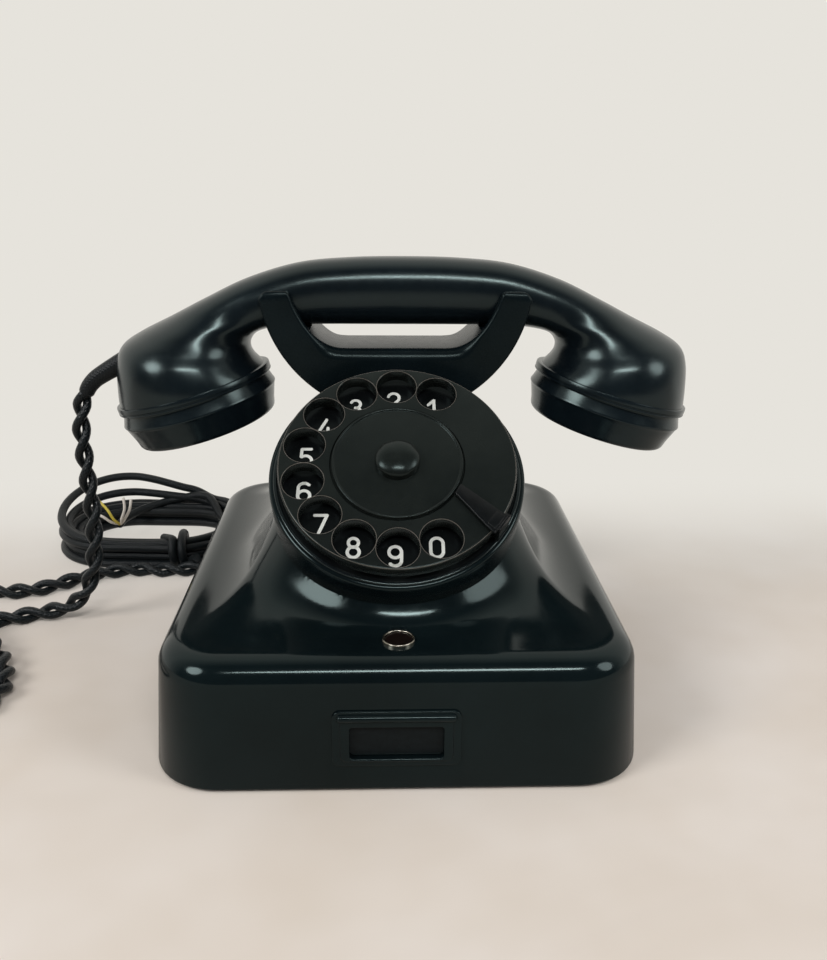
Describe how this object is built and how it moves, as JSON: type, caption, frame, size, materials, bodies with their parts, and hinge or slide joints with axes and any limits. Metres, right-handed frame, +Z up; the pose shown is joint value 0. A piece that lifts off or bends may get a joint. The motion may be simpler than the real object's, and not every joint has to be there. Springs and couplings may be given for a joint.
{
  "type": "rotary telephone",
  "caption": "Black moulded desk telephone with a rotary finger wheel dial, a handset on a cradle, an earth button and textile cords.",
  "frame": {"origin": "middle of the footprint on the table, under the housing's middle", "axes": "+Z up, the dial and label face -Y, the ear end of the handset is at +X"},
  "size_m": [0.3455, 0.2505, 0.1596],
  "materials": {
    "bakelite": "polished black phenolic moulding",
    "steel": "zinc-plated sheet steel and turned steel",
    "brass": "plain turned and stamped brass",
    "rubber": "matt black rubber",
    "fibre": "laminated fibre board",
    "winding": "varnished copper winding",
    "button_red": "dark red-brown moulding",
    "black_enamel": "black stove-enamelled sheet metal",
    "textile": "black braided textile over rubber"
  },
  "bodies": {
    "base": {"housing": "bakelite", "base_plate": "steel", "foot_1": "rubber", "foot_2": "rubber", "foot_3": "rubber", "foot_4": "rubber", "base_screws": "steel", "label_frame": "bakelite", "label_card": "fibre", "button_ring": "steel", "button_contacts": "brass", "dial_case": "bakelite", "number_plate": "bakelite", "dial_frame": "brass", "finger_stop": "black_enamel", "spring_barrel": "steel", "pulse_contacts": "steel", "cradle_guide": "brass", "switch_bracket": "steel", "hook_contacts": "fibre", "ringer_frame": "steel", "ringer_coil_1": "winding", "ringer_coil_2": "winding", "gong_1": "steel", "gong_2": "steel", "gong_post_1": "steel", "gong_post_2": "steel", "induction_coil": "winding", "capacitor": "steel", "terminal_block": "fibre", "handset_gland": "rubber", "line_gland": "rubber", "handset_cord": "textile", "line_cord": "textile", "line_coil": "textile"},
    "handset": {"handset_body": "bakelite", "ear_cap": "bakelite", "mouth_cap": "bakelite", "ear_capsule": "steel", "mouth_capsule": "steel", "cord_sleeve": "textile"},
    "dial": {"finger_wheel": "bakelite", "wheel_disc": "bakelite", "wheel_knob": "bakelite", "dial_shaft": "steel", "main_gear": "brass"},
    "pulse_cam": {"pulse_cam": "brass"},
    "governor": {"governor": "brass"},
    "push_button": {"push_button": "button_red"},
    "cradle": {"cradle": "bakelite"},
    "hook_lever": {"hook_lever": "steel"},
    "clapper": {"clapper": "brass"}
  },
  "joints": [
    {"name": "handset_lift", "type": "slide", "parent": "base", "child": "handset", "axis": [0, 0, 1], "range_m": [0, 0.04]},
    {"name": "cradle_rise", "type": "slide", "parent": "base", "child": "cradle", "axis": [0, 0, 1], "range_m": [0, 0.006]},
    {"name": "hook_lever_turn", "type": "hinge", "parent": "base", "child": "hook_lever", "pos_m": [0, 0.044, 0.0822], "axis": [-1, 0, 0], "range_deg": [0, 20]},
    {"name": "dial_turn", "type": "hinge", "parent": "base", "child": "dial", "pos_m": [0, -0.0348, 0.0905], "axis": [0, -0.6184, 0.7859], "range_deg": [-315, 0], "stiffness_Nm_per_rad": 0.01, "springref_deg": 34.38},
    {"name": "pulse_cam_turn", "type": "hinge", "parent": "base", "child": "pulse_cam", "pos_m": [-0.02349, -0.04546, 0.08211], "axis": [0, -0.6184, 0.7859], "range_deg": [-1, 1580]},
    {"name": "governor_turn", "type": "hinge", "parent": "base", "child": "governor", "pos_m": [0.02284, -0.04516, 0.08235], "axis": [0, -0.6184, 0.7859], "range_deg": [-1, 1895]},
    {"name": "earth_button_press", "type": "slide", "parent": "base", "child": "push_button", "axis": [0, 0, -1], "range_m": [0, 0.0025], "stiffness_N_per_m": 300, "springref_m": -0.001},
    {"name": "clapper_swing", "type": "hinge", "parent": "base", "child": "clapper", "pos_m": [0, 0.0635, 0.018], "axis": [0, 0, 1], "range_deg": [-12, 12], "stiffness_Nm_per_rad": 0.01}
  ],
  "couplings": [
    {"joint": "cradle_rise", "follows": "handset_lift", "ratio": 0.15},
    {"joint": "hook_lever_turn", "follows": "handset_lift", "rad_per_m": 8.6},
    {"joint": "pulse_cam_turn", "follows": "dial_turn", "ratio": -5},
    {"joint": "governor_turn", "follows": "dial_turn", "ratio": -6}
  ]
}
